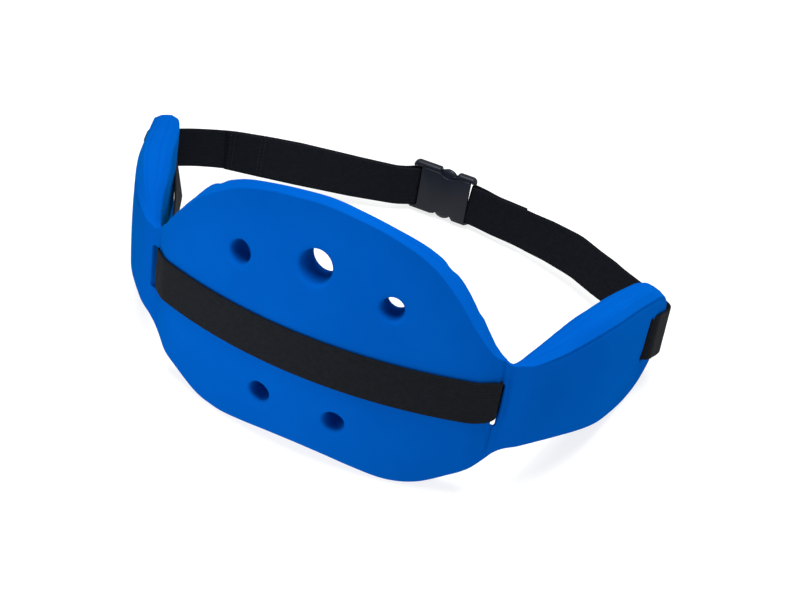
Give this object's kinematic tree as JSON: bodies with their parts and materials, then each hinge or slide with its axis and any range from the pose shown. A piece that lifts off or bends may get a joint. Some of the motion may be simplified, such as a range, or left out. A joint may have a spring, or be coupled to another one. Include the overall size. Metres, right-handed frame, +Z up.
{
  "type": "aqua jogging belt",
  "caption": "Foam flotation belt for water jogging: a crowned back panel with holes, two hinged wings and a webbing strap closed by a side-release buckle.",
  "frame": {"origin": "on the surface that the belt rests on, under the middle of its box", "axes": "+X to the right wing as the panel's outer face is seen, +Y from the panel to the buckle, +Z up; the belt leans back until the buckle touches the surface"},
  "size_m": [0.512, 0.3286, 0.23],
  "materials": {
    "blue_foam": "satin closed-cell foam with soft moulded creases",
    "black_webbing": "matt woven webbing with fine lengthwise ribs",
    "black_plastic": "satin moulded plastic"
  },
  "bodies": {
    "root": {"foam_body": "blue_foam", "webbing_strap": "black_webbing", "buckle_socket": "black_plastic", "buckle_plug": "black_plastic"}
  },
  "joints": []
}
